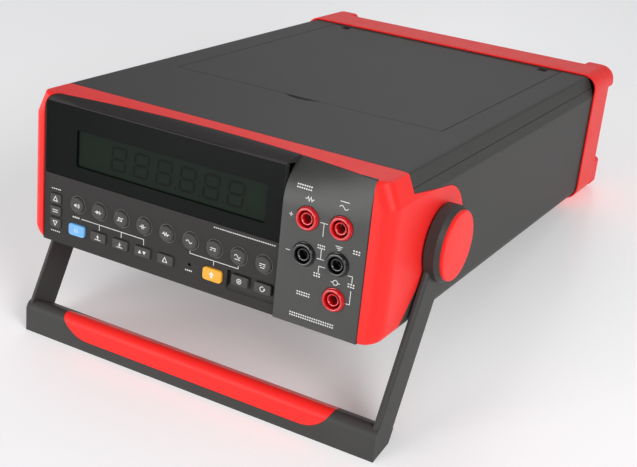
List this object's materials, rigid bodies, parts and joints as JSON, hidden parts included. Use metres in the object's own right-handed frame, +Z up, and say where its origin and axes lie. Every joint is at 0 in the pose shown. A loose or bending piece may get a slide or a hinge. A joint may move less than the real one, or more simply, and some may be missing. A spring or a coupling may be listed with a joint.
{
  "type": "bench multimeter",
  "caption": "Bench multimeter with a dark rectangular case, red bezel and rear frame, key panel, display, test sockets, and a swing handle it stands on.",
  "frame": {"origin": "centre of the whole instrument's bounding box at the surface it stands on, in its leaned-back stance", "axes": "+Z up, +Y towards the rear, +X to the right as seen from the front; the case leans back about 10 degrees on its handle"},
  "size_m": [0.2472, 0.364, 0.1463],
  "materials": {
    "grey_shell": "fine textured ABS",
    "red_shell": "satin over-moulded elastomer",
    "panel_grey": "satin",
    "terminal_grey": "satin",
    "window_black": "polished",
    "display_glass": "dark green liquid crystal",
    "red_socket": "gloss",
    "black_socket": "gloss",
    "sleeve_metal": "nickel plated",
    "key_grey": "satin",
    "key_blue": "satin",
    "key_orange": "satin",
    "mat_rubber": "matte",
    "foot_rubber": "matte",
    "board": "solder mask",
    "steel": "plated",
    "fuse_glass": "glass tube and clips",
    "shunt_wire": "bare resistance wire",
    "tray_plastic": "fine textured",
    "rocker_red": "gloss"
  },
  "bodies": {
    "case": {"top_cover": "grey_shell", "bottom_cover": "grey_shell", "front_bezel": "red_shell", "front_panel": "panel_grey", "display_window": "window_black", "lcd_module": "display_glass", "terminal_panel": "terminal_grey", "socket_sense_high": "red_socket", "socket_sense_low": "black_socket", "socket_input_high": "red_socket", "socket_common": "black_socket", "socket_current": "red_socket", "socket_sleeves": "sleeve_metal", "keypad_mat": "mat_rubber", "display_board": "board", "main_board": "board", "board_posts": "steel", "transformer": "steel", "input_fuses": "fuse_glass", "current_shunt": "shunt_wire", "storage_tray": "tray_plastic", "lid_hinge_pin": "steel", "rear_frame": "red_shell", "rear_panel": "tray_plastic", "mains_inlet": "tray_plastic", "interface_ports": "steel", "pivot_pins": "steel", "detent_plates": "steel", "feet": "foot_rubber", "case_screws": "steel"},
    "lid": {"storage_lid": "grey_shell"},
    "handle": {"handle": "grey_shell", "handle_grip": "red_shell", "hub_caps": "red_shell"},
    "rocker": {"power_rocker": "rocker_red"},
    "fuse_drawer": {"fuse_drawer": "tray_plastic"},
    "key_function_1": {"key_function_1": "key_grey"},
    "key_function_2": {"key_function_2": "key_grey"},
    "key_function_3": {"key_function_3": "key_grey"},
    "key_function_4": {"key_function_4": "key_grey"},
    "key_function_5": {"key_function_5": "key_grey"},
    "key_function_6": {"key_function_6": "key_grey"},
    "key_function_7": {"key_function_7": "key_grey"},
    "key_function_8": {"key_function_8": "key_grey"},
    "key_function_9": {"key_function_9": "key_grey"},
    "key_range_up": {"key_range_up": "key_grey"},
    "key_auto_range": {"key_auto_range": "key_grey"},
    "key_range_down": {"key_range_down": "key_grey"},
    "key_hold": {"key_hold": "key_blue"},
    "key_recall": {"key_recall": "key_grey"},
    "key_store": {"key_store": "key_grey"},
    "key_max_min": {"key_max_min": "key_grey"},
    "key_relative": {"key_relative": "key_grey"},
    "key_shift": {"key_shift": "key_orange"},
    "key_set": {"key_set": "key_grey"},
    "key_reset": {"key_reset": "key_grey"}
  },
  "joints": [
    {"name": "handle_swing", "type": "hinge", "parent": "case", "child": "handle", "pos_m": [0, -0.10762, 0.09223], "axis": [-1, 0, 0], "range_deg": [-68, 198]},
    {"name": "lid_hinge", "type": "hinge", "parent": "case", "child": "lid", "pos_m": [0, 0.13349, 0.09082], "axis": [-1, 0, 0], "range_deg": [0, 95]},
    {"name": "rocker_tilt", "type": "hinge", "parent": "case", "child": "rocker", "pos_m": [-0.092, 0.15281, 0.06567], "axis": [1, 0, 0], "range_deg": [-8, 8]},
    {"name": "fuse_drawer_pull", "type": "slide", "parent": "case", "child": "fuse_drawer", "axis": [0, 0.984, -0.1783], "range_m": [0, 0.016]},
    {"name": "press_function_1", "type": "slide", "parent": "case", "child": "key_function_1", "axis": [0, 0.984, -0.1783], "range_m": [0, 0.001], "stiffness_N_per_m": 300, "springref_m": -0.0015},
    {"name": "press_function_2", "type": "slide", "parent": "case", "child": "key_function_2", "axis": [0, 0.984, -0.1783], "range_m": [0, 0.001], "stiffness_N_per_m": 300, "springref_m": -0.0015},
    {"name": "press_function_3", "type": "slide", "parent": "case", "child": "key_function_3", "axis": [0, 0.984, -0.1783], "range_m": [0, 0.001], "stiffness_N_per_m": 300, "springref_m": -0.0015},
    {"name": "press_function_4", "type": "slide", "parent": "case", "child": "key_function_4", "axis": [0, 0.984, -0.1783], "range_m": [0, 0.001], "stiffness_N_per_m": 300, "springref_m": -0.0015},
    {"name": "press_function_5", "type": "slide", "parent": "case", "child": "key_function_5", "axis": [0, 0.984, -0.1783], "range_m": [0, 0.001], "stiffness_N_per_m": 300, "springref_m": -0.0015},
    {"name": "press_function_6", "type": "slide", "parent": "case", "child": "key_function_6", "axis": [0, 0.984, -0.1783], "range_m": [0, 0.001], "stiffness_N_per_m": 300, "springref_m": -0.0015},
    {"name": "press_function_7", "type": "slide", "parent": "case", "child": "key_function_7", "axis": [0, 0.984, -0.1783], "range_m": [0, 0.001], "stiffness_N_per_m": 300, "springref_m": -0.0015},
    {"name": "press_function_8", "type": "slide", "parent": "case", "child": "key_function_8", "axis": [0, 0.984, -0.1783], "range_m": [0, 0.001], "stiffness_N_per_m": 300, "springref_m": -0.0015},
    {"name": "press_function_9", "type": "slide", "parent": "case", "child": "key_function_9", "axis": [0, 0.984, -0.1783], "range_m": [0, 0.001], "stiffness_N_per_m": 300, "springref_m": -0.0015},
    {"name": "press_range_up", "type": "slide", "parent": "case", "child": "key_range_up", "axis": [0, 0.984, -0.1783], "range_m": [0, 0.001], "stiffness_N_per_m": 300, "springref_m": -0.0015},
    {"name": "press_auto_range", "type": "slide", "parent": "case", "child": "key_auto_range", "axis": [0, 0.984, -0.1783], "range_m": [0, 0.001], "stiffness_N_per_m": 300, "springref_m": -0.0015},
    {"name": "press_range_down", "type": "slide", "parent": "case", "child": "key_range_down", "axis": [0, 0.984, -0.1783], "range_m": [0, 0.001], "stiffness_N_per_m": 300, "springref_m": -0.0015},
    {"name": "press_hold", "type": "slide", "parent": "case", "child": "key_hold", "axis": [0, 0.984, -0.1783], "range_m": [0, 0.001], "stiffness_N_per_m": 300, "springref_m": -0.0015},
    {"name": "press_recall", "type": "slide", "parent": "case", "child": "key_recall", "axis": [0, 0.984, -0.1783], "range_m": [0, 0.001], "stiffness_N_per_m": 300, "springref_m": -0.0015},
    {"name": "press_store", "type": "slide", "parent": "case", "child": "key_store", "axis": [0, 0.984, -0.1783], "range_m": [0, 0.001], "stiffness_N_per_m": 300, "springref_m": -0.0015},
    {"name": "press_max_min", "type": "slide", "parent": "case", "child": "key_max_min", "axis": [0, 0.984, -0.1783], "range_m": [0, 0.001], "stiffness_N_per_m": 300, "springref_m": -0.0015},
    {"name": "press_relative", "type": "slide", "parent": "case", "child": "key_relative", "axis": [0, 0.984, -0.1783], "range_m": [0, 0.001], "stiffness_N_per_m": 300, "springref_m": -0.0015},
    {"name": "press_shift", "type": "slide", "parent": "case", "child": "key_shift", "axis": [0, 0.984, -0.1783], "range_m": [0, 0.001], "stiffness_N_per_m": 300, "springref_m": -0.0015},
    {"name": "press_set", "type": "slide", "parent": "case", "child": "key_set", "axis": [0, 0.984, -0.1783], "range_m": [0, 0.001], "stiffness_N_per_m": 300, "springref_m": -0.0015},
    {"name": "press_reset", "type": "slide", "parent": "case", "child": "key_reset", "axis": [0, 0.984, -0.1783], "range_m": [0, 0.001], "stiffness_N_per_m": 300, "springref_m": -0.0015}
  ]
}
